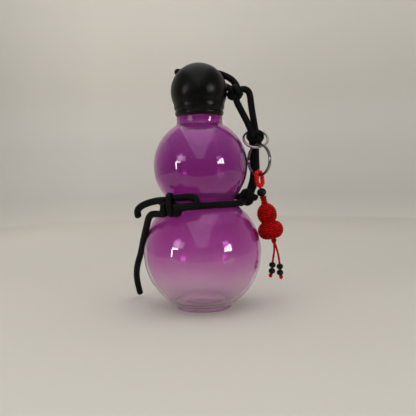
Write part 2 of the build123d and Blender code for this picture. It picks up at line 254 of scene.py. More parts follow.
card_mix = node(card_finish, "MapRange", Value=card_cloud.outputs["Fac"], To_Min=0.38, To_Max=0.46)
drive(card_finish, card_mix.outputs["Result"], "Roughness")
card_section = [(0.0, 0.0), (CARD_FLAT_R, 0.0)]
card_section += arc((CARD_FLAT_R, CARD_BEND_R), CARD_BEND_R, -90, 0, 16)[1:]
card_section += [(CARD_FLAT_R + CARD_BEND_R, CARD_TOP_Z)]
card = new_object(lathe(card_section, 96), "studio_card", card_finish)
card.visible_glossy = False

lit_sheet("mirrored_card", card_finish, *MIRRORED_CARD)
room_shape = bmesh.new()
room_seat = Matrix.Translation(ROOM_MIDDLE) @ Matrix.Diagonal((*ROOM_SIZE, 1.0))
bmesh.ops.create_cube(room_shape, size=1.0, matrix=room_seat)
room_finish = new_finish("mirrored_walls", Base_Color=(0, 0, 0, 1), Emission_Strength=1.0)
room_depth = node(room_finish, "SeparateXYZ", Vector=object_place(room_finish)).outputs["Y"]
room_share = node(
    room_finish,
    "MapRange",
    Value=room_depth,
    From_Min=ROOM_TONED_FROM_Y,
    From_Max=ROOM_TONED_TO_Y,
)
wall_tones = [
    (0.0, (0.03, 0.03, 0.03)),
    (0.75, (0.09, 0.085, 0.08)),
    (0.94, (0.40, 0.37, 0.33)),
    (1.0, (0.50, 0.46, 0.41)),
]
drive(room_finish, ramp(room_finish, room_share.outputs["Result"], wall_tones), "Emission Color")
only_mirrored(new_object(room_shape, "mirrored_walls", room_finish))

ceiling_finish = new_finish("mirrored_ceiling", Base_Color=(0, 0, 0, 1), Emission_Strength=CEILING_GLOW)
ceiling_across = node(ceiling_finish, "SeparateXYZ", Vector=object_place(ceiling_finish)).outputs["X"]
ceiling_share = node(ceiling_finish, "MapRange", Value=ceiling_across, From_Min=-1.0, From_Max=1.0)
ceiling_tones = [
    (0.0, 0.10), (0.07, 0.16), (0.09, 1.0), (0.13, 0.62), (0.64, 0.62),
    (0.665, 0.30), (0.69, 0.80), (0.80, 0.50), (0.92, 0.08),
]
ceiling_colour = ramp(ceiling_finish, ceiling_share.outputs["Result"], greys(ceiling_tones))
drive(ceiling_finish, ceiling_colour, "Emission Color")
lit_sheet("mirrored_ceiling", ceiling_finish, *MIRRORED_CEILING)
lit_panels("mirrored_left_window", WINDOW_GLOW, LEFT_WINDOW)
lit_panels("mirrored_left_wall", WALL_GLOW, LEFT_WALL)
lit_panels("mirrored_right_window", WINDOW_GLOW, RIGHT_WINDOW)
lamp("top_lamp", (0.1, -0.2, 1.5), BOTTLE_MIDDLE, width=1.3, height=1.3, watts=TOP_LAMP_WATTS)
lamp("left_window", (-1.0, -0.78, 0.42), BOTTLE_MIDDLE, width=0.24, height=0.60, watts=WINDOW_LAMP_WATTS)
lamp("right_window", (0.96, -0.86, 0.40), BOTTLE_MIDDLE, width=0.30, height=0.36, watts=WINDOW_LAMP_WATTS)

air = bpy.data.worlds.new("studio_air")
air.use_nodes = True
air.node_tree.nodes["Background"].inputs["Color"].default_value = (1.0, 1.0, 1.0, 1.0)
air.node_tree.nodes["Background"].inputs["Strength"].default_value = AIR_STRENGTH
bpy.context.scene.world = air
bpy.context.scene.view_settings.view_transform = "Standard"

CAMERA_PLACE = (0.0, -0.42101, 0.10902)
CAMERA_LENS = 43.71
CAMERA_PAN = -0.72
CAMERA_PITCH = 3.59
CAMERA_ROLL = 1.35

camera_data = bpy.data.cameras.new("camera")
camera_data.lens = CAMERA_LENS
camera_data.clip_start = 0.01
camera = bpy.data.objects.new("camera", camera_data)
camera.matrix_world = (
    Matrix.Translation(CAMERA_PLACE)
    @ Matrix.Rotation(math.radians(CAMERA_PAN), 4, "Z")
    @ Matrix.Rotation(math.radians(90 - CAMERA_PITCH), 4, "X")
    @ Matrix.Rotation(math.radians(-CAMERA_ROLL), 4, "Z")
)
bpy.context.scene.collection.objects.link(camera)
bpy.context.scene.camera = camera

# Braided cord
# One round cord of matt black polyester, 5 mm across and 5.6 mm over the crowns of its braid: eight strands
# lean each way and pass over and under each other round a soft core. It is one long piece on the real
# bottle, parted here at its knots.

CORD_FULL_R = 0.0028
CORD_AROUND = 48
CORD_STEP = 0.00034
BRAID_STRANDS = 8
BRAID_PITCH = 0.0021
BRAID_DEPTH = 0.00028
FIBRES = 5
FUZZ_SCALE = 1800.0
# The darker colour is painted shade in the braid's valleys; the lighter is the cord's own black on its
# crowns.
CORD_VALLEY_SHADE = (0.0015, 0.0015, 0.0017, 1.0)
CORD_LIGHT = (0.0050, 0.0048, 0.0048, 1.0)


def smooth_line(route, closed=False):
    """The points of the smooth curve that a cord's middle follows, read from a spline with this route."""
    data = bpy.data.curves.new("route", "CURVE")
    data.dimensions = "3D"
    data.resolution_u = 24
    spline = data.splines.new("NURBS")
    spline.points.add(len(route) - 1)
    for point, place in zip(spline.points, route):
        point.co = (*place, 1.0)
    spline.use_cyclic_u = closed
    spline.order_u = 3
    spline.use_endpoint_u = not closed
    holder = bpy.data.objects.new("route", data)
    read = bpy.data.meshes.new_from_object(holder)
    line = [vertex.co.copy() for vertex in read.vertices]
    bpy.data.objects.remove(holder)
    bpy.data.meshes.remove(read)
    bpy.data.curves.remove(data)
    return line


def evenly(line, step, closed=False, multiple=1):
    """The same line as points an even step apart. A closed line gets a count that the multiple divides."""
    if closed:
        line = line + line[:1]
    runs = [(after - before).length for before, after in zip(line, line[1:])]
    total = sum(runs)
    count = max(multiple, multiple * round(total / step / multiple))
    points = []
    run, passed = 0, 0.0
    for i in range(count + 1):
        at = total * i / count
        while run < len(runs) - 1 and passed + runs[run] < at:
            passed += runs[run]
            run += 1
        points.append(line[run].lerp(line[run + 1], (at - passed) / runs[run]))
    return points


def carried(line, closed=False):
    """For each point of a line, two directions square to it that turn with it and never twist."""
    last = len(line) - 1
    ahead = []
    for i in range(len(line)):
        before = line[last - 1] if closed and i == 0 else line[max(i - 1, 0)]
        after = line[1] if closed and i == last else line[min(i + 1, last)]
        ahead.append((after - before).normalized())
    side = ahead[0].orthogonal().normalized()
    sides = [side]
    for before, after in zip(ahead, ahead[1:]):
        side = before.rotation_difference(after) @ side
        side = (side - after * side.dot(after)).normalized()
        sides.append(side)
    if closed:
        slip = sides[-1].cross(sides[0]).dot(ahead[0])
        slip = math.atan2(slip, sides[-1].dot(sides[0]))
        sides = [Matrix.Rotation(slip * i / last, 3, ahead[i]) @ sides[i] for i in range(len(line))]
    return [(side, way.cross(side)) for side, way in zip(sides, ahead)]


def rolled(around, rows, place):
    """A grid rolled into a tube. For a share of the way round and a row, place gives each vertex its
    point, how far its relief stands up from 0 to 1, and where it lies across its strand."""
    shape = bmesh.new()
    shape.loops.layers.uv.new("surface")
    bmesh.ops.create_grid(shape, x_segments=around, y_segments=rows, size=0.5, calc_uvs=True)
    relief = shape.verts.layers.float.new("relief")
    fibre = shape.verts.layers.float.new("fibre")
    for vertex in shape.verts:
        point, height, across = place(vertex.co.x + 0.5, round((vertex.co.y + 0.5) * rows))
        vertex.co = point
        vertex[relief] = height
        vertex[fibre] = across
    bmesh.ops.remove_doubles(shape, verts=shape.verts, dist=WELD)
    bmesh.ops.holes_fill(shape, edges=[edge for edge in shape.edges if edge.is_boundary], sides=0)
    bmesh.ops.recalc_face_normals(shape, faces=shape.faces)
    return shape


def tube(line, radius, around, weave, depth, closed=False, blunt=0.6):
    """A round cord along a line, with the relief of its weave. Its open ends are rounded off."""
    directions = carried(line, closed)
    step = (line[1] - line[0]).length
    last = len(line) - 1

    def place(share, row):
        side, other = directions[row]
        turn = 2 * math.pi * share
        height, across = weave(share, row * step)
        thick = radius - depth * (1 - height)
        if not closed:
            left = min(row, last - row) * step / (blunt * radius)
            thick *= math.sqrt(max(1 - (1 - min(left, 1)) ** 2, 0.02))
        out = side * math.cos(turn) + other * math.sin(turn)
        return line[row] + out * thick, height, across

    return rolled(around, last, place)


def braid(share, distance, strands=BRAID_STRANDS, pitch=BRAID_PITCH):
    """Height and place across the upper strand at a point of a braid of strands that lean both ways."""
    leaning = strands * share + distance / pitch
    counter = strands * share - distance / pitch
    over = (math.floor(leaning) + math.floor(counter)) % 2 == 0
    lying, crossing = (leaning, counter) if over else (counter, leaning)
    crown = math.sin(math.pi * (lying % 1.0))
    dive = math.sin(math.pi * (crossing % 1.0))
    return math.sqrt(max(crown, 0.0)) * (0.5 + 0.5 * dive), lying % 1.0


def surface_bump(finish, height, strength, distance):
    bump = node(finish, "Bump", Strength=strength, Distance=distance, Height=height)
    drive(finish, bump.outputs["Normal"], "Normal")


def yarn_finish(name, valley_shade, light, gloss, fibres, shine, patches=1800.0, patch_dark=0.75):
    """Yarn whose valleys are darkened with painted shade, whose fibres run along each strand, and which is
    dyed a little unevenly.
    """
    finish = new_finish(name, Roughness=gloss, Specular_IOR_Level=shine)
    relief = node(finish, "Attribute")
    relief.attribute_name = "relief"
    fibre = node(finish, "Attribute")
    fibre.attribute_name = "fibre"
    fuzz = node(finish, "TexNoise", Vector=object_place(finish), Scale=FUZZ_SCALE, Detail=3.0)
    turns = node(finish, "Math", Value=fibre.outputs["Fac"])
    turns.operation = "MULTIPLY"
    turns.inputs[1].default_value = 2 * math.pi * fibres
    ridge = node(finish, "Math", Value=turns.outputs["Value"])
    ridge.operation = "SINE"
    height = node(finish, "Math", Value=ridge.outputs["Value"])
    height.operation = "MULTIPLY_ADD"
    height.inputs[1].default_value = 0.25
    finish.node_tree.links.new(fuzz.outputs["Fac"], height.inputs[2])
    surface_bump(finish, height.outputs["Value"], strength=0.5, distance=0.00008)
    # Painted shade: the valleys of the relief are mixed towards the darker colour, and the crowns show the
    # yarn's own colour.
    valley_shading = node(finish, "MixRGB", Color1=valley_shade, Color2=light)
    tone = node(finish, "Math", Value=relief.outputs["Fac"])
    tone.operation = "MULTIPLY"
    dye = node(finish, "TexNoise", Vector=object_place(finish), Scale=patches, Detail=1.0)
    patch = node(
        finish,
        "MapRange",
        Value=dye.outputs["Fac"],
        From_Min=0.38,
        From_Max=0.62,
        To_Min=patch_dark,
    )
    finish.node_tree.links.new(patch.outputs["Result"], tone.inputs[1])
    finish.node_tree.links.new(tone.outputs["Value"], valley_shading.inputs["Fac"])
    drive(finish, valley_shading.outputs["Color"], "Base Color")
    return finish


black_cord = yarn_finish("black_cord", CORD_VALLEY_SHADE, CORD_LIGHT, gloss=0.62, fibres=FIBRES, shine=0.14)
MM = 0.001


def metres(route):
    return [Vector(point) * MM for point in route]


def cord_piece(name, cad_node, route, body="harness"):
    """A stretch of the cord along its route in millimetres. One with a far end is free. One without a body
    is left unattached here."""
    line = evenly(smooth_line(metres(route)), CORD_STEP)
    shape = tube(line, CORD_FULL_R, CORD_AROUND, braid, BRAID_DEPTH)
    piece = new_object(shape, name, black_cord)
    if body:
        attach(piece, body)
    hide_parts(cad_node)
    return piece


cord_piece(
    "cord_through_cap",
    "cap_cord_loop",
    [
        (32.6, 1.6, 179.6), (31.2, 3.4, 184.6), (27.2, 5.6, 189.6), (22.0, 7.8, 192.8),
        (16.6, 8.6, 195.0), (10.0, 8.0, 195.8), (-11.0, 8.0, 196.0), (-16.9, 8.2, 196.6),
        (-18.0, 13.0, 197.6), (-15.4, 19.5, 198.0), (-7.0, 26.0, 195.4), (6.5, 28.0, 192.0),
        (18.5, 22.0, 188.0), (24.4, 13.5, 184.4), (26.0, 6.6, 181.4), (29.4, 3.0, 178.6),
    ],
    body="cap",
)
strand_inner = cord_piece(
    "strap_inner",
    "strap_strand_inner",
    [
        (30.0, -0.2, 176.5), (30.2, -0.6, 171.4), (34.0, -1.1, 163.4), (41.0, -2.0, 149.6),
        (44.2, -2.0, 139.6),
    ],
    body=None,
)
strand_outer = cord_piece(
    "strap_outer",
    "strap_strand_outer",
    [
        (31.6, 0.4, 176.0), (33.0, 0.5, 178.9), (36.6, 0.6, 180.5), (40.6, 0.8, 179.0),
        (42.2, 0.8, 175.2), (42.9, 0.9, 168.0), (43.9, 1.2, 160.5), (45.3, 1.7, 152.4),
        (46.7, 2.2, 143.6),
    ],
    body=None,
)
for strand in (strand_inner, strand_outer):
    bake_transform(strand)
cord_piece(
    "strap_leg_at_front",
    "strap_leg_front",
    [(46.7, 1.6, 136.6), (46.3, 3.0, 126.0), (47.0, 3.6, 114.0), (45.5, 2.4, 102.6), (40.4, 0.0, 92.4)],
)
cord_piece(
    "strap_leg_at_back",
    "strap_leg_back",
    [(45.6, 5.2, 137.5), (44.3, 8.8, 126.0), (45.0, 8.9, 114.0), (43.6, 7.6, 102.2), (39.0, 3.8, 92.4)],
)
cord_piece(
    "waist_cord_at_front",
    "waist_cord_front",
    [
        (35.5, -3.5, 87.8), (30.4, -15.0, 86.8), (19.8, -26.2, 86.8), (7.0, -32.9, 86.8),
        (-6.5, -34.6, 86.3), (-20.6, -33.0, 84.8),
    ],
)
cord_piece(
    "waist_cord_at_back",
    "waist_cord_back",
    [
        (35.5, 4.0, 90.6), (30.5, 15.5, 91.2), (18.5, 28.5, 91.0), (1.5, 33.6, 90.2),
        (-15.0, 29.6, 89.4), (-26.8, 18.0, 88.8), (-32.6, 3.0, 88.8), (-32.8, -12.0, 88.0),
        (-26.0, -28.6, 86.0),
    ],
)
cord_piece(
    "bow_loop_cord",
    "bow_loop",
    [
        (-22.6, -34.0, 92.8), (-15.0, -35.0, 93.4), (-9.4, -36.4, 94.0), (-5.2, -37.2, 93.2),
        (-3.2, -38.2, 90.2), (-5.4, -39.4, 87.0), (-10.0, -39.8, 86.6), (-15.0, -39.2, 86.3),
        (-22.0, -37.0, 86.0),
    ],
)
cord_piece(
    "tail_short",
    "short_tail",
    [
        (-26.5, -30.6, 91.6), (-33.6, -27.6, 91.2), (-42.5, -24.2, 89.2), (-49.3, -21.6, 86.0),
        (-51.6, -20.4, 81.6), (-50.0, -20.2, 77.2),
    ],
)
cord_piece(
    "tail_long",
    "long_tail",
    [
        (-27.8, -32.0, 80.6), (-35.0, -27.6, 80.8), (-41.4, -22.6, 80.0), (-44.8, -13.5, 70.0),
        (-49.2, -1.5, 58.0), (-52.8, 11.0, 45.5), (-58.6, 22.0, 31.0), (-60.3, 31.5, 16.0),
        (-58.0, 37.5, 2.8),
    ],
)

# Knots in the cord
# Overhand knots pulled tight, in which the same cord goes round itself in three lobes and is squeezed a
# little thinner. At the cap, the waist and the bow more turns of cord lie round the knot, and a cut end
# stands out of the one at the waist.

KNOT_CORD_D = 4.8
KNOT_POINTS = 24


def placed(centre, facing):
    """Where something made flat at the origin goes: to a point in millimetres, face on along facing."""
    turn = Vector(facing).to_track_quat("Z", "Y").to_matrix().to_4x4()
    return Matrix.Translation(Vector(centre) * MM) @ turn


def overhand(centre, facing, spin, lobe, swell):
    """The route of a pulled overhand knot of three lobes, in metres, seen face on along facing."""
    seat = placed(centre, facing) @ Matrix.Rotation(math.radians(spin), 4, "Z")
    points = []
    for i in range(KNOT_POINTS):
        turn = 2 * math.pi * i / KNOT_POINTS
        out = lobe + swell * math.cos(3 * turn)
        place = Vector((out * math.cos(2 * turn), out * math.sin(2 * turn), swell * math.sin(3 * turn)))
        points.append(seat @ (place * MM))
    return points


def joined(shape, other):
    """One shape that holds both."""
    mesh = bpy.data.meshes.new("joined")
    other.to_mesh(mesh)
    other.free()
    shape.from_mesh(mesh)
    bpy.data.meshes.remove(mesh)
    return shape


def hoop(centre, facing, spin, high, wide):
    """The route of one turn of cord round a knot, in metres: an oval seen face on along facing."""
    seat = placed(centre, facing) @ Matrix.Rotation(math.radians(spin), 4, "Z")
    turns = [2 * math.pi * i / 12 for i in range(12)]
    return [seat @ (Vector((wide * math.cos(turn), high * math.sin(turn), 0)) * MM) for turn in turns]


def knot_piece(name, cad_node, body, *turns):
    """A knot made of closed turns of cord that press against each other."""
    shape = bmesh.new()
    for route in turns:
        line = evenly(smooth_line(route, closed=True), CORD_STEP, closed=True, multiple=12)
        shape = joined(shape, tube(line, KNOT_CORD_D / 2 * MM, CORD_AROUND, braid, BRAID_DEPTH, closed=True))
    piece = new_object(shape, name, black_cord)
    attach(piece, body)
    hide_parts(cad_node)


knot_piece(
    "knot_at_cap",
    "cap_knot",
    "cap",
    overhand((29.4, 0.6, 176.9), (0.1, -1, 0.1), spin=222, lobe=3.1, swell=1.8),
    hoop((32.2, 0.2, 179.0), (0.8, -0.3, 0.5), spin=0, high=3.6, wide=4.2),
)
knot_piece(
    "knot_at_ring",
    "ring_knot",
    "harness",
    overhand((46.0, 1.7, 139.8), (0, -1, 0.1), spin=30, lobe=3.7, swell=2.3),
)
knot_piece(
    "knot_at_waist",
    "waist_knot",
    "harness",
    overhand((36.6, -0.4, 90.6), (0.1, -1, 0.1), spin=75, lobe=3.5, swell=2.2),
    hoop((39.4, -0.6, 91.4), (0.9, -0.4, -0.2), spin=0, high=4.4, wide=3.2),
    hoop((32.6, -2.4, 88.8), (0.8, -0.5, 0.1), spin=0, high=3.2, wide=2.8),
)
knot_piece(
    "knot_of_bow",
    "bow_knot",
    "harness",
    overhand((-21.4, -33.8, 83.6), (-0.2, -1, 0.1), spin=330, lobe=2.6, swell=1.7),
    hoop((-23.8, -34.4, 88.0), (0.95, -0.30, 0.08), spin=0, high=7.5, wide=4.2),
    hoop((-28.4, -33.4, 84.3), (0.90, -0.40, 0.0), spin=0, high=3.7, wide=3.2),
    hoop((-18.6, -35.0, 83.2), (0.85, -0.50, 0.0), spin=0, high=2.6, wide=2.4),
)
cord_piece(
    "cut_end_at_waist",
    "waist_knot_end",
    [(38.6, -1.4, 92.6), (43.0, -2.0, 91.8), (46.6, -2.6, 89.2)],
)

# Glass bottle
# One blown piece of glass, tinted purple and fading to nearly clear towards the foot, with a foot ring, a
# pushed-up base, a collar and a screw finish that the cap hides. Its shadow holds back only a small share
# of the lamps' light.

LOWER_BULB = (0.0, 45.8)
LOWER_BULB_R = 49.0
UPPER_BULB = (0.0, 117.85)
UPPER_BULB_R = 38.85
GLASS_WALL = 2.5
WAIST_R = 5.0
FOOT_R = 23.3
FOOT_INNER_R = 20.0
FOOT_EDGE_R = 0.8
FOOT_BLEND_R = 2.2
BASE_Z = 2.6
BASE_SLOPE = 1.6
BASE_MARK_R = 10.0
BASE_MARK_Z = 3.2
BASE_MARK_STEP = 0.6
COLLAR_R = 18.9
COLLAR_TOP_Z = 158.4
COLLAR_EDGE_R = 1.1
NECK_BLEND_R = 2.5
NECK_INNER_R = 16.2
NECK_STEP_Z = 155.4
FINISH_R = 16.2
MOUTH_R = 13.4
MOUTH_Z = 171.3
LIP_R = 0.7
FLOOR_CORNER_R = 28.0
FLOOR_R = 20.0
FLOOR_Z = 6.2
FLOOR_TOP_Z = 7.6
FLOOR_BEND = (24.0, 6.9)
FLOOR_RISE = (10.0, 7.2)
FLOOR_FLAT_R = 3.0
THREAD_PITCH = 4.0
THREAD_BEAD_R = 0.75
THREAD_START_Z = 160.8
THREAD_TURNS = 1.9
GLASS_STEPS = 192
STREAK_SCALE = (60.0, 60.0, 7.0)
TINT_WANDER = 0.004


def direction(start, end):
    """The angle in degrees of the line from one point of a section to another."""
    return math.degrees(math.atan2(end[1] - start[1], end[0] - start[0]))


def ball_height(centre, radius, r, side):
    """The height of a ball's surface at r from the axis, on its upper side for 1 and its lower for -1."""
    return centre[1] + side * math.sqrt(radius**2 - r**2)


def round_through(start, middle, end, steps):
    """Points of the arc through three points of a section."""
    (ax, ay), (bx, by), (cx, cy) = start, middle, end
    twice = 2 * (ax * (by - cy) + bx * (cy - ay) + cx * (ay - by))
    a, b, c = ax**2 + ay**2, bx**2 + by**2, cx**2 + cy**2
    centre = (
        (a * (by - cy) + b * (cy - ay) + c * (ay - by)) / twice,
        (a * (cx - bx) + b * (ax - cx) + c * (bx - ax)) / twice,
    )
    first = direction(centre, start)
    half = (direction(centre, middle) - first + 180) % 360 - 180
    rest = (direction(centre, end) - direction(centre, middle) + 180) % 360 - 180
    return arc(centre, math.dist(centre, start), first, first + half + rest, steps)


def waist_middle():
    """The middle of the round hollow between the bulbs, which touches both."""
    low = LOWER_BULB_R + WAIST_R
    up = UPPER_BULB_R + WAIST_R
    rise = UPPER_BULB[1] - LOWER_BULB[1]
    z = LOWER_BULB[1] + (low**2 - up**2 + rise**2) / (2 * rise)
    return (math.sqrt(low**2 - (z - LOWER_BULB[1]) ** 2), z)


def glass_section():
    """The wall from the middle of the base up the outside to the lip and down the inside to the floor."""
    waist = waist_middle()
    foot_r = FOOT_R + FOOT_BLEND_R
    foot = (foot_r, ball_height(LOWER_BULB, LOWER_BULB_R + FOOT_BLEND_R, foot_r, -1))
    neck_r = COLLAR_R + NECK_BLEND_R
    neck = (neck_r, ball_height(UPPER_BULB, UPPER_BULB_R + NECK_BLEND_R, neck_r, 1))
    low_up, up_low = direction(LOWER_BULB, waist), direction(UPPER_BULB, waist)
    foot_edge, collar_edge, lip_low = FOOT_EDGE_R, COLLAR_TOP_Z - COLLAR_EDGE_R, MOUTH_Z - LIP_R
    up_r, low_r = UPPER_BULB_R - GLASS_WALL, LOWER_BULB_R - GLASS_WALL
    shoulder = (NECK_INNER_R, ball_height(UPPER_BULB, up_r, NECK_INNER_R, 1))
    corner = (FLOOR_CORNER_R, ball_height(LOWER_BULB, low_r, FLOOR_CORNER_R, -1))
    return (
        [(0.0, BASE_MARK_Z), (BASE_MARK_R / 2, BASE_MARK_Z), (BASE_MARK_R, BASE_MARK_Z)]
        + [(BASE_MARK_R + BASE_MARK_STEP, BASE_Z), (FOOT_INNER_R - BASE_SLOPE, BASE_Z)]
        + arc((FOOT_INNER_R + foot_edge, foot_edge), foot_edge, 180, 270, 6)
        + arc((FOOT_R - foot_edge, foot_edge), foot_edge, -90, 0, 6)
        + arc(foot, FOOT_BLEND_R, 180, direction(foot, LOWER_BULB), 8)
        + arc(LOWER_BULB, LOWER_BULB_R, direction(LOWER_BULB, foot), low_up, 72)[1:]
        + arc(waist, WAIST_R, low_up + 180, up_low + 180, 16)[1:]
        + arc(UPPER_BULB, UPPER_BULB_R, up_low, direction(UPPER_BULB, neck), 60)[1:]
        + arc(neck, NECK_BLEND_R, direction(UPPER_BULB, neck) + 180, 180, 10)[1:]
        + arc((COLLAR_R - COLLAR_EDGE_R, collar_edge), COLLAR_EDGE_R, 0, 90, 6)
        + [(FINISH_R, COLLAR_TOP_Z)]
        + arc((FINISH_R - LIP_R, lip_low), LIP_R, 0, 90, 5)
        + arc((MOUTH_R + LIP_R, lip_low), LIP_R, 90, 180, 5)
        + [(MOUTH_R, COLLAR_TOP_Z), (NECK_INNER_R, NECK_STEP_Z)]
        + arc(UPPER_BULB, up_r, direction(UPPER_BULB, shoulder), up_low, 56)
        + arc(waist, WAIST_R + GLASS_WALL, up_low + 180, low_up + 180, 16)[1:]
        + arc(LOWER_BULB, low_r, low_up, direction(LOWER_BULB, corner), 64)[1:]
        + round_through(corner, FLOOR_BEND, (FLOOR_R, FLOOR_Z), 6)[1:]
        + round_through((FLOOR_R, FLOOR_Z), FLOOR_RISE, (FLOOR_FLAT_R, FLOOR_TOP_Z), 8)[1:]
        + [(0.0, FLOOR_TOP_Z)]
    )


def in_metres(section):
    return [(radius * MM, height * MM) for radius, height in section]


def thread_ridge(radius, start_z, turns, bead_r, phase=0.0):
    """A rounded screw ridge, right-handed, that fades out at both ends."""
    line = []
    steps = round(turns * 72)
    for i in range(steps + 1):
        turn = 2 * math.pi * turns * i / steps
        z = start_z + THREAD_PITCH * turn / (2 * math.pi)
        line.append(Vector((radius * math.cos(turn + phase), radius * math.sin(turn + phase), z)) * MM)
    return tube(line, bead_r * MM, 12, lambda share, distance: (1.0, 0.0), 0.0, blunt=12.0)


GLASS_TINTS = [
    (0.0, (0.70, 0.48, 0.63)),
    (0.02, (0.73, 0.53, 0.67)),
    (0.045, (0.86, 0.71, 0.80)),
    (0.10, (0.85, 0.70, 0.80)),
    (0.17, (0.795, 0.555, 0.755)),
    (0.24, (0.735, 0.335, 0.69)),
    (0.33, (0.675, 0.225, 0.64)),
    (0.46, (0.58, 0.150, 0.53)),
    (0.64, (0.525, 0.120, 0.50)),
    (0.76, (0.55, 0.165, 0.55)),
    (0.88, (0.60, 0.23, 0.60)),
    (0.90, (0.56, 0.085, 0.48)),
]
GLASS_CLEARNESS = [
    (0.0, 0.90), (0.08, 0.94), (0.20, 0.97), (0.42, 0.97), (0.48, 0.86),
    (0.56, 0.86), (0.62, 0.97), (0.885, 0.97), (0.90, 0.80),
]
GLASS_SHADE = 0.13

tinted_glass = new_finish("tinted_glass", IOR=1.5, Roughness=0.0)
glass_place = object_place(tinted_glass)
glass_height = node(tinted_glass, "SeparateXYZ", Vector=glass_place).outputs["Z"]
streaks = node(tinted_glass, "Mapping", Vector=glass_place, Scale=STREAK_SCALE)
wander = node(tinted_glass, "TexNoise", Vector=streaks.outputs["Vector"], Scale=1.0, Detail=2.0)
drift = node(tinted_glass, "MapRange", Value=wander.outputs["Fac"], To_Min=-TINT_WANDER, To_Max=TINT_WANDER)
level = node(tinted_glass, "Math", Value=glass_height)
tinted_glass.node_tree.links.new(drift.outputs["Result"], level.inputs[1])
share = node(tinted_glass, "MapRange", Value=level.outputs["Value"], From_Max=MOUTH_Z * MM)
drive(tinted_glass, ramp(tinted_glass, share.outputs["Result"], GLASS_TINTS), "Base Color")
clearness = ramp(tinted_glass, share.outputs["Result"], greys(GLASS_CLEARNESS))
drive(tinted_glass, clearness, "Transmission Weight")
surface_bump(tinted_glass, wander.outputs["Fac"], strength=0.10, distance=0.0006)
light_path = node(tinted_glass, "LightPath").outputs["Is Shadow Ray"]
solid_share = node(tinted_glass, "MapRange", Value=light_path, To_Min=1.0, To_Max=GLASS_SHADE)
drive(tinted_glass, solid_share.outputs["Result"], "Alpha")

glass_shape = lathe(in_metres(glass_section()), GLASS_STEPS)
glass_shape = joined(glass_shape, thread_ridge(FINISH_R, THREAD_START_Z, THREAD_TURNS, THREAD_BEAD_R))
bottle_glass = new_object(glass_shape, "bottle_glass", tinted_glass)
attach(bottle_glass, "bottle")
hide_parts("glass_bottle")

# Cap
# A ball moulded in satin black plastic that narrows to a skirt of two soft bands. The cord goes through a
# cross hole above a round socket that takes the sleeve.

CAP_BALL = (0.0, 178.7)
CAP_BALL_R = 23.15
CAP_BALL_START_R = 21.6
CAP_SOCKET_R = 17.9
CAP_SOCKET_Z = 174.4
CAP_BOTTOM_Z = 158.8
CAP_FOOT_R = 19.2
CAP_EDGE_R = 0.35
LOWER_BAND = (19.98, 160.6)
GROOVE_LOW = (19.7, 162.35)
GROOVE_MIDDLE = (19.45, 162.75)
GROOVE_HIGH = (19.7, 163.15)
UPPER_BAND = (20.6, 165.0)
CAP_SHOULDER = (20.7, 167.3)
CORD_HOLE_R = 3.1
CORD_HOLE = (0.0, 8.0, 195.7)
CAP_BLACK = (0.0035, 0.0035, 0.0033, 1.0)


def cap_section():
    """The cap from its socket's rim over the two bands and the ball to the socket's roof."""
    ball_start = (CAP_BALL_START_R, ball_height(CAP_BALL, CAP_BALL_R, CAP_BALL_START_R, -1))
    return (
        arc((CAP_SOCKET_R + CAP_EDGE_R, CAP_BOTTOM_Z + CAP_EDGE_R), CAP_EDGE_R, 180, 270, 4)
        + round_through((CAP_FOOT_R, CAP_BOTTOM_Z), LOWER_BAND, GROOVE_LOW, 12)
        + round_through(GROOVE_LOW, GROOVE_MIDDLE, GROOVE_HIGH, 6)[1:]
        + round_through(GROOVE_HIGH, UPPER_BAND, CAP_SHOULDER, 12)[1:]
        + arc(CAP_BALL, CAP_BALL_R, direction(CAP_BALL, ball_start), 90, 72)
        + [(0.0, CAP_SOCKET_Z), (CAP_SOCKET_R, CAP_SOCKET_Z)]
    )


def drilled(piece, radius, place, length):
    """The piece with a hole across it along X, which a cylinder cuts and then goes."""
    shape = bmesh.new()
    seat = Matrix.Translation(Vector(place) * MM) @ Matrix.Rotation(math.pi / 2, 4, "Y")
    bmesh.ops.create_cone(
        shape,
        cap_ends=True,
        segments=48,
        radius1=radius * MM,
        radius2=radius * MM,
        depth=length * MM,
        matrix=seat,
    )
    drill = new_object(shape, "drill", piece.data.materials[0])
    cut = piece.modifiers.new("cross_hole", "BOOLEAN")
    cut.operation = "DIFFERENCE"
    cut.solver = "EXACT"
    cut.object = drill
    bpy.context.view_layer.update()
    made = bpy.data.meshes.new_from_object(piece.evaluated_get(bpy.context.evaluated_depsgraph_get()))
    piece.modifiers.clear()
    piece.data = made
    bpy.data.objects.remove(drill)


def moulded(name, colour, gloss, shine, grain, strength):
    """Moulded plastic with a fine even grain and slightly uneven gloss."""
    finish = new_finish(name, Base_Color=colour, Roughness=gloss, Specular_IOR_Level=shine)
    place = object_place(finish)
    fine = node(finish, "TexNoise", Vector=place, Scale=grain, Detail=2.0)
    broad = node(finish, "TexNoise", Vector=place, Scale=90.0, Detail=4.0)
    rough = node(finish, "MapRange", Value=broad.outputs["Fac"], To_Min=gloss - 0.05, To_Max=gloss + 0.06)
    drive(finish, rough.outputs["Result"], "Roughness")
    surface_bump(finish, fine.outputs["Fac"], strength, distance=0.00005)
    return finish


cap_plastic = moulded("satin_black_plastic", CAP_BLACK, gloss=0.34, shine=0.18, grain=2600.0, strength=0.25)
cap_shape = lathe(in_metres(cap_section()), 160, closed=True)
cap_ball = new_object(cap_shape, "cap_ball", cap_plastic, crease=35.0)
drilled(cap_ball, CORD_HOLE_R, CORD_HOLE, 3 * CAP_BALL_R)
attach(cap_ball, "cap")
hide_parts("cap_shell")

# Cap sleeve
# A cup moulded in white plastic and pressed into the cap from below. The screw ridge round its bore runs
# between the turns of the bottle's.

SLEEVE_R = 17.88
SLEEVE_BORE_R = 17.1
SLEEVE_LOW_Z = 159.4
SLEEVE_FLOOR_Z = 173.4
SLEEVE_RIDGE_R = 0.6
SLEEVE_WHITE = (0.55, 0.54, 0.52, 1.0)
PRESSED_GAP = 0.02

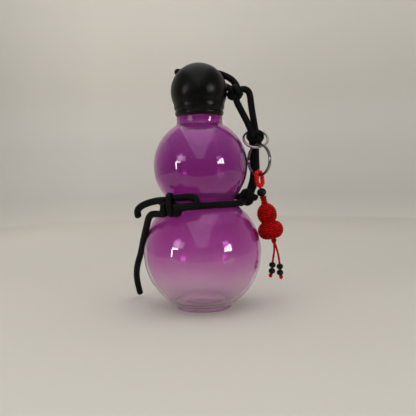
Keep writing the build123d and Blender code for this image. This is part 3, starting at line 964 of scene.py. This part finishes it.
sleeve_plastic = moulded("sleeve_plastic", SLEEVE_WHITE, gloss=0.45, shine=0.5, grain=1800.0, strength=0.2)
sleeve_top_z = CAP_SOCKET_Z - PRESSED_GAP
sleeve_section = (
    [(SLEEVE_BORE_R, SLEEVE_LOW_Z), (SLEEVE_R, SLEEVE_LOW_Z), (SLEEVE_R, sleeve_top_z)]
    + [(0.0, sleeve_top_z), (0.0, SLEEVE_FLOOR_Z), (SLEEVE_BORE_R, SLEEVE_FLOOR_Z)]
)
sleeve_shape = lathe(in_metres(sleeve_section), 128, closed=True)
ridge_start_z = THREAD_START_Z + 0.5
sleeve_ridge = thread_ridge(SLEEVE_BORE_R + 0.05, ridge_start_z, THREAD_TURNS, SLEEVE_RIDGE_R, math.pi)
sleeve_shape = joined(sleeve_shape, sleeve_ridge)
cap_sleeve = new_object(sleeve_shape, "cap_thread_sleeve", sleeve_plastic, crease=35.0)
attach(cap_sleeve, "cap")
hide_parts("cap_liner")

# Cap seal
# A disc of soft grey rubber that lies against the sleeve's floor. Screwing the cap down presses it on the
# bottle's lip.

SEAL_R = 16.6
SEAL_LOW_Z = 171.35
SEAL_EDGE_R = 0.4
SEAL_GREY = (0.62, 0.62, 0.60, 1.0)

seal_rubber = moulded("seal_rubber", SEAL_GREY, gloss=0.55, shine=0.5, grain=1200.0, strength=0.3)
seal_section = (
    [(0.0, SEAL_LOW_Z), (SEAL_R - SEAL_EDGE_R, SEAL_LOW_Z)]
    + arc((SEAL_R - SEAL_EDGE_R, SEAL_LOW_Z + SEAL_EDGE_R), SEAL_EDGE_R, -90, 0, 5)[1:]
    + [(SEAL_R, SLEEVE_FLOOR_Z - PRESSED_GAP), (0.0, SLEEVE_FLOOR_Z - PRESSED_GAP)]
)
cap_disc = new_object(lathe(in_metres(seal_section), 96), "cap_seal_disc", seal_rubber)
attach(cap_disc, "cap")
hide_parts("cap_seal")

# Rings
# The small ring is welded from round steel wire and brightly plated. The split ring linked to it is one
# flat wire wound twice and plated duller, with a step where it crosses over and an open end on each side
# of the step.

UPPER_RING_R = 10.0
UPPER_RING_WIRE_R = 1.0
UPPER_RING_CENTRE = (46.1, 0.0, 139.3)
UPPER_RING_LEAN = 39.5
LOWER_RING_R = 12.7
LOWER_RING_CENTRE = (47.8, -6.3, 121.4)
LOWER_RING_FACING = (0.8, 0.6, 0.0)
SPLIT_WIRE = (1.75, 0.98)
SPLIT_WIRE_EDGE = 0.38
SPLIT_LIFT = 1.01
SPLIT_STEP_DEGREES = 30
SPLIT_STEP_AT_DEGREES = 70
BRIGHT = (0.55, 0.535, 0.50, 1.0)
DULL = (0.24, 0.237, 0.23, 1.0)


def plating(name, colour):
    """Polished plating on steel, worn a little unevenly."""
    finish = new_finish(name, Base_Color=colour, Metallic=1.0, Roughness=0.16)
    wear = node(finish, "TexNoise", Vector=object_place(finish), Scale=420.0, Detail=5.0)
    gloss = node(finish, "MapRange", Value=wear.outputs["Fac"], To_Min=0.08, To_Max=0.26)
    drive(finish, gloss.outputs["Result"], "Roughness")
    surface_bump(finish, wear.outputs["Fac"], strength=0.12, distance=0.00004)
    return finish


bright_plating = plating("bright_plating", BRIGHT)
dull_plating = plating("dull_plating", DULL)


def spun(shape, section, radians, steps, lift=0.0):
    """Turns a section on about the upright axis, rising in all by lift, and returns where it ends."""
    made = bmesh.ops.spin(
        shape,
        geom=section,
        cent=(0, 0, 0),
        axis=(0, 0, 1),
        dvec=(0, 0, lift / steps),
        angle=radians,
        steps=steps,
    )
    return made["geom_last"]


def seated(shape, centre, facing):
    """Moves a ring or bead that was made flat at the origin to its place."""
    bmesh.ops.transform(shape, matrix=placed(centre, facing), verts=shape.verts)


lean = math.radians(UPPER_RING_LEAN)
ring_section = arc((UPPER_RING_R, 0.0), UPPER_RING_WIRE_R, 0, 360, 28)[:-1]
ring_shape = lathe(in_metres(ring_section), 144, closed=True)
seated(ring_shape, UPPER_RING_CENTRE, (0, -math.cos(lean), math.sin(lean)))
small_ring = new_object(ring_shape, "small_ring", bright_plating)
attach(small_ring, "upper_ring")
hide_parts("upper_ring")

split_shape = bmesh.new()
bmesh.ops.create_grid(split_shape, x_segments=1, y_segments=1, size=0.5)
width, thick = SPLIT_WIRE
seat = Matrix.Translation((LOWER_RING_R * MM, 0, -SPLIT_LIFT / 2 * MM))
seat = seat @ Matrix.Rotation(math.pi / 2, 4, "X") @ Matrix.Diagonal((width * MM, thick * MM, 1, 1))
bmesh.ops.transform(split_shape, matrix=seat, verts=split_shape.verts)
bmesh.ops.bevel(
    split_shape,
    geom=split_shape.verts[:],
    offset=SPLIT_WIRE_EDGE * MM,
    segments=4,
    profile=0.5,
    affect="VERTICES",
    material=-1,
)
flat_turn = math.radians(360 - SPLIT_STEP_DEGREES)
section = split_shape.faces[:] + split_shape.edges[:] + split_shape.verts[:]
section = spun(split_shape, section, flat_turn, 150)
section = spun(split_shape, section, math.radians(SPLIT_STEP_DEGREES), 12, SPLIT_LIFT * MM)
spun(split_shape, section, flat_turn, 150)
bmesh.ops.remove_doubles(split_shape, verts=split_shape.verts, dist=WELD)
bmesh.ops.recalc_face_normals(split_shape, faces=split_shape.faces)
step_turn = Matrix.Rotation(math.radians(SPLIT_STEP_AT_DEGREES), 3, "Z")
bmesh.ops.rotate(split_shape, verts=split_shape.verts, matrix=step_turn)
seated(split_shape, LOWER_RING_CENTRE, LOWER_RING_FACING)
split_ring = new_object(split_shape, "split_ring", dull_plating, crease=30.0)
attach(split_ring, "lower_ring")
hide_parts("lower_ring")

# Charm loop and cord
# A loop of red cord, whipped all the way round with thinner red cord, hangs on the split ring. A thin
# twisted cord goes down from it through a bead and holds the gourd.

# In each pair the darker red is painted shade in the valleys between stitches, strands and turns; the
# lighter is the yarn's own red.
RED_VALLEY_SHADE = (0.045, 0.0004, 0.0004, 1.0)
RED_LIGHT = (0.66, 0.0045, 0.0035, 1.0)
LOOP_RED_VALLEY_SHADE = (0.07, 0.0008, 0.001, 1.0)
LOOP_RED_LIGHT = (0.86, 0.010, 0.008, 1.0)
CHARM_Y = -6.3
LOOP_D = 3.8
LOOP_LEAN = 0.13
LOOP_BEND_R = 3.1
LOOP_STRAIGHT = 5.1
LOOP_TOP = (47.8, CHARM_Y, 108.7)
WHIP_PITCH = 2.3
WHIP_DEPTH = 0.75
THIN_CORD_D = 1.75
THIN_CORD_DEPTH = 0.14
CHARM_CORD_START = 0.5
GOURD_TOP = (50.7, CHARM_Y, 91.2)

red_yarn = yarn_finish(
    "red_knitting",
    RED_VALLEY_SHADE,
    RED_LIGHT,
    gloss=0.6,
    fibres=2,
    shine=0.06,
    patches=620.0,
    patch_dark=0.36,
)
red_whipping = yarn_finish("red_whipping", LOOP_RED_VALLEY_SHADE, LOOP_RED_LIGHT, gloss=0.5, fibres=3, shine=0.15)


def whipping(share, distance):
    """Turns of cord laid side by side round a core, leaning a little."""
    turn = distance / (WHIP_PITCH * MM) + share
    return math.sqrt(math.sin(math.pi * (turn % 1.0))), turn % 1.0


def twist(share, distance, strands=3, pitch=0.0034):
    """Strands laid round each other like a rope's."""
    turn = strands * share + strands * distance / pitch
    return math.sqrt(math.sin(math.pi * (turn % 1.0))), turn % 1.0


def red_cord(name, cad_node, body, route, diameter, weave, finish, depth, closed=False, around=24):
    """A piece of red cord along its route in metres."""
    line = evenly(smooth_line(route, closed), diameter / 12, closed)
    piece = new_object(tube(line, diameter / 2, around, weave, depth, closed), name, finish)
    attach(piece, body)
    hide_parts(cad_node)


bend_half = LOOP_BEND_R * math.tan(math.radians(22.5))
side_x, low_z = LOOP_BEND_R, -LOOP_STRAIGHT
loop_outline = [
    (side_x, low_z / 2), (side_x, bend_half), (bend_half, side_x),
    (-bend_half, side_x), (-side_x, bend_half), (-side_x, low_z / 2),
    (-side_x, low_z - bend_half), (-bend_half, low_z - side_x), (bend_half, low_z - side_x),
    (side_x, low_z - bend_half),
]
loop_across = Vector(LOWER_RING_FACING)
loop_route = [
    (Vector(LOOP_TOP) + loop_across * (x - LOOP_LEAN * z) + Vector((0, 0, z))) * MM
    for x, z in loop_outline
]
red_cord(
    "whipped_loop",
    "charm_loop",
    "charm",
    loop_route,
    LOOP_D * MM,
    whipping,
    red_whipping,
    WHIP_DEPTH * MM,
    closed=True,
    around=32,
)

loop_low_z = LOOP_TOP[2] - LOOP_STRAIGHT - LOOP_BEND_R - LOOP_D / 2
cord_top = Vector((LOOP_TOP[0] + CHARM_CORD_START, CHARM_Y, loop_low_z + CHARM_CORD_START))
fall = (Vector(GOURD_TOP) - cord_top).normalized()
cord_route = [cord_top * MM, cord_top.lerp(Vector(GOURD_TOP), 0.5) * MM, (Vector(GOURD_TOP) + fall) * MM]
red_cord(
    "charm_hanging_cord",
    "charm_cord",
    "charm",
    cord_route,
    THIN_CORD_D * MM,
    twist,
    red_yarn,
    THIN_CORD_DEPTH * MM,
)

# Charm bead
# A polished black bead, a little flattened and drilled from top to bottom. The thin cord is threaded
# through it and fills its hole.

BEAD_R = 3.9
BEAD_HALF_HEIGHT = 3.5
BEAD_BORE_R = 0.78
BEAD_DROP = 4.5
BEAD_BLACK = (0.002, 0.002, 0.0022, 1.0)


def bead(name, cad_node, body, centre, facing, radius, half_height):
    """A polished bead, a little flat, with a threading hole whose rims are rounded."""
    rim = math.degrees(math.asin((BEAD_BORE_R + 0.25) / radius))
    section = [(r, z * half_height / radius) for r, z in arc((0, 0), radius, rim - 90, 90 - rim, 36)]
    reach = half_height * math.cos(math.radians(rim)) - 0.2
    section += [(BEAD_BORE_R, reach), (BEAD_BORE_R, -reach)]
    shape = lathe(in_metres(section), 48, closed=True)
    seated(shape, centre, facing)
    piece = new_object(shape, name, polished_bead, crease=60.0)
    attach(piece, body)
    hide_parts(cad_node)


polished_bead = moulded(
    "polished_black_bead",
    BEAD_BLACK,
    gloss=0.20,
    shine=0.18,
    grain=500.0,
    strength=0.05,
)
bead("charm_black_bead", "charm_bead", "charm", cord_top + fall * BEAD_DROP, fall, BEAD_R, BEAD_HALF_HEIGHT)

# Knitted gourd
# A little double gourd knitted in rows of thick red yarn round a filling, which the cord above it holds.
# The yarn ends below in a tied knot.

GOURD_TIP = (58.0, CHARM_Y, 56.4)
GOURD_ARCS = [
    ((3.1, 0.0), (2.5, 3.6), (3.1, 6.0), 24),
    ((3.1, 6.0), (8.1, 13.6), (6.15, 20.7), 60),
    ((6.15, 20.7), (6.0, 21.1), (6.15, 21.5), 4),
    ((6.15, 21.5), (10.6, 27.9), (7.6, 34.2), 60),
    ((7.6, 34.2), (4.6, 35.3), (1.2, 35.5), 16),
]
KNIT_PITCH = 1.9
KNIT_DEPTH = 0.85
KNIT_PROUD = 0.12
KNIT_AROUND = 280
KNIT_STEP = 0.22
STITCH_WIDTH = 1.15 * KNIT_PITCH
STITCH_SLANT = 0.6
STITCH_ROUNDNESS = 0.6
STITCH_FLOOR = 0.12
ROW_SHIFT = 0.37
TASSEL_KNOT_R = 1.9
TASSEL_KNOT_SHIFT = 1.1


def gourd_section():
    """The gourd's outline from stem to tip, as (radius, distance down)."""
    outline = round_through(*GOURD_ARCS[0])
    for stretch in GOURD_ARCS[1:]:
        outline += round_through(*stretch)[1:]
    return outline


def knitted_gourd():
    """Rows of stitches round the gourd, leaning one way and then the other, each row with its own count."""
    seat = placed(GOURD_TOP, Vector(GOURD_TIP) - Vector(GOURD_TOP))
    outline = evenly([Vector((radius, 0.0, down)) for radius, down in gourd_section()], KNIT_STEP)
    last = len(outline) - 1
    step = (outline[1] - outline[0]).length
    outward = []
    for i in range(last + 1):
        along = outline[min(i + 1, last)] - outline[max(i - 1, 0)]
        outward.append(Vector((along.z, 0.0, -along.x)).normalized())
    per_row = KNIT_PITCH / step

    def place(share, row):
        course = row / per_row
        number = math.floor(course)
        middle = outline[min(round((number + 0.5) * per_row), last)].x
        stitches = max(6, round(2 * math.pi * middle / STITCH_WIDTH))
        slant = STITCH_SLANT if number % 2 else -STITCH_SLANT
        turn = share * stitches + slant * (course % 1.0 - 0.5) + ROW_SHIFT * number
        ridge = math.sin(math.pi * (course % 1.0)) ** STITCH_ROUNDNESS
        stitch = abs(math.sin(math.pi * turn)) ** STITCH_ROUNDNESS
        height = ridge * (STITCH_FLOOR + (1 - STITCH_FLOOR) * stitch)
        point = outline[row] + outward[row] * (KNIT_PROUD - KNIT_DEPTH * (1 - height))
        angle = 2 * math.pi * share
        turned = Vector((point.x * math.cos(angle), point.x * math.sin(angle), point.z))
        return seat @ (turned * MM), height, turn % 1.0

    return rolled(KNIT_AROUND, last, place)


# The knitting's finish puts painted shade in the hollows between its stitches.
charm_body = new_object(knitted_gourd(), "knitted_gourd", red_yarn, crease=80.0)
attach(charm_body, "charm")
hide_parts("charm_gourd")

tassel_top = Vector(GOURD_TIP) + Vector((TASSEL_KNOT_SHIFT, 0, -TASSEL_KNOT_R))
knot_route = overhand(tassel_top, (0.2, -1, 0), spin=30, lobe=1.15, swell=0.7)
red_cord("tied_knot", "tassel_knot", "charm", knot_route, 1.5 * MM, twist, red_yarn, 0.12 * MM, True)

# Beaded strings
# Two thin twisted red cords come out of the tied knot. Each is threaded through two small polished black
# beads, which a knot in its end holds.

SMALL_BEAD_R = 2.8
SMALL_BEAD_HALF_HEIGHT = 2.5
SMALL_BEAD_PITCH = 5.02
END_KNOT_R = 1.3
END_KNOT_D = 1.4
END_KNOT_DEPTH = 0.1


def beaded_string(side, points, upper_bead_z, end_shift):
    """One string from the tied knot with its two beads and its end knot. It swings as one body."""
    body = side + "_tassel"
    thick, depth = THIN_CORD_D * MM, THIN_CORD_DEPTH * MM
    route = metres([tassel_top] + points)
    red_cord(side + "_red_string", side + "_string", body, route, thick, twist, red_yarn, depth)
    low, high = Vector(points[-1]), Vector(points[-2])
    down = (low - high).normalized()
    upper = low + (high - low) * ((upper_bead_z - low.z) / (high.z - low.z))
    lower = upper + down * SMALL_BEAD_PITCH
    size = (SMALL_BEAD_R, SMALL_BEAD_HALF_HEIGHT)
    bead(side + "_bead_above", side + "_upper_bead", body, upper, down, *size)
    bead(side + "_bead_below", side + "_lower_bead", body, lower, down, *size)
    end = lower + down * (SMALL_BEAD_HALF_HEIGHT + END_KNOT_R) + Vector((end_shift, 0, 0))
    knot_route = overhand(end, (0.3, -1, 0.1), spin=20, lobe=0.75, swell=0.5)
    thick, depth = END_KNOT_D * MM, END_KNOT_DEPTH * MM
    names = (side + "_string_knot", side + "_end_knot")
    red_cord(*names, body, knot_route, thick, twist, red_yarn, depth, closed=True)


left_points = [(59.6, CHARM_Y, 48.5), (58.6, CHARM_Y, 42.0), (57.6, CHARM_Y, 35.5), (56.7, CHARM_Y, 25.6)]
right_points = [(61.4, CHARM_Y, 48.0), (62.9, CHARM_Y, 41.0), (63.6, CHARM_Y, 35.0), (63.9, CHARM_Y, 24.4)]
beaded_string("left", left_points, 34.4, -0.8)
beaded_string("right", right_points, 32.9, 0.7)
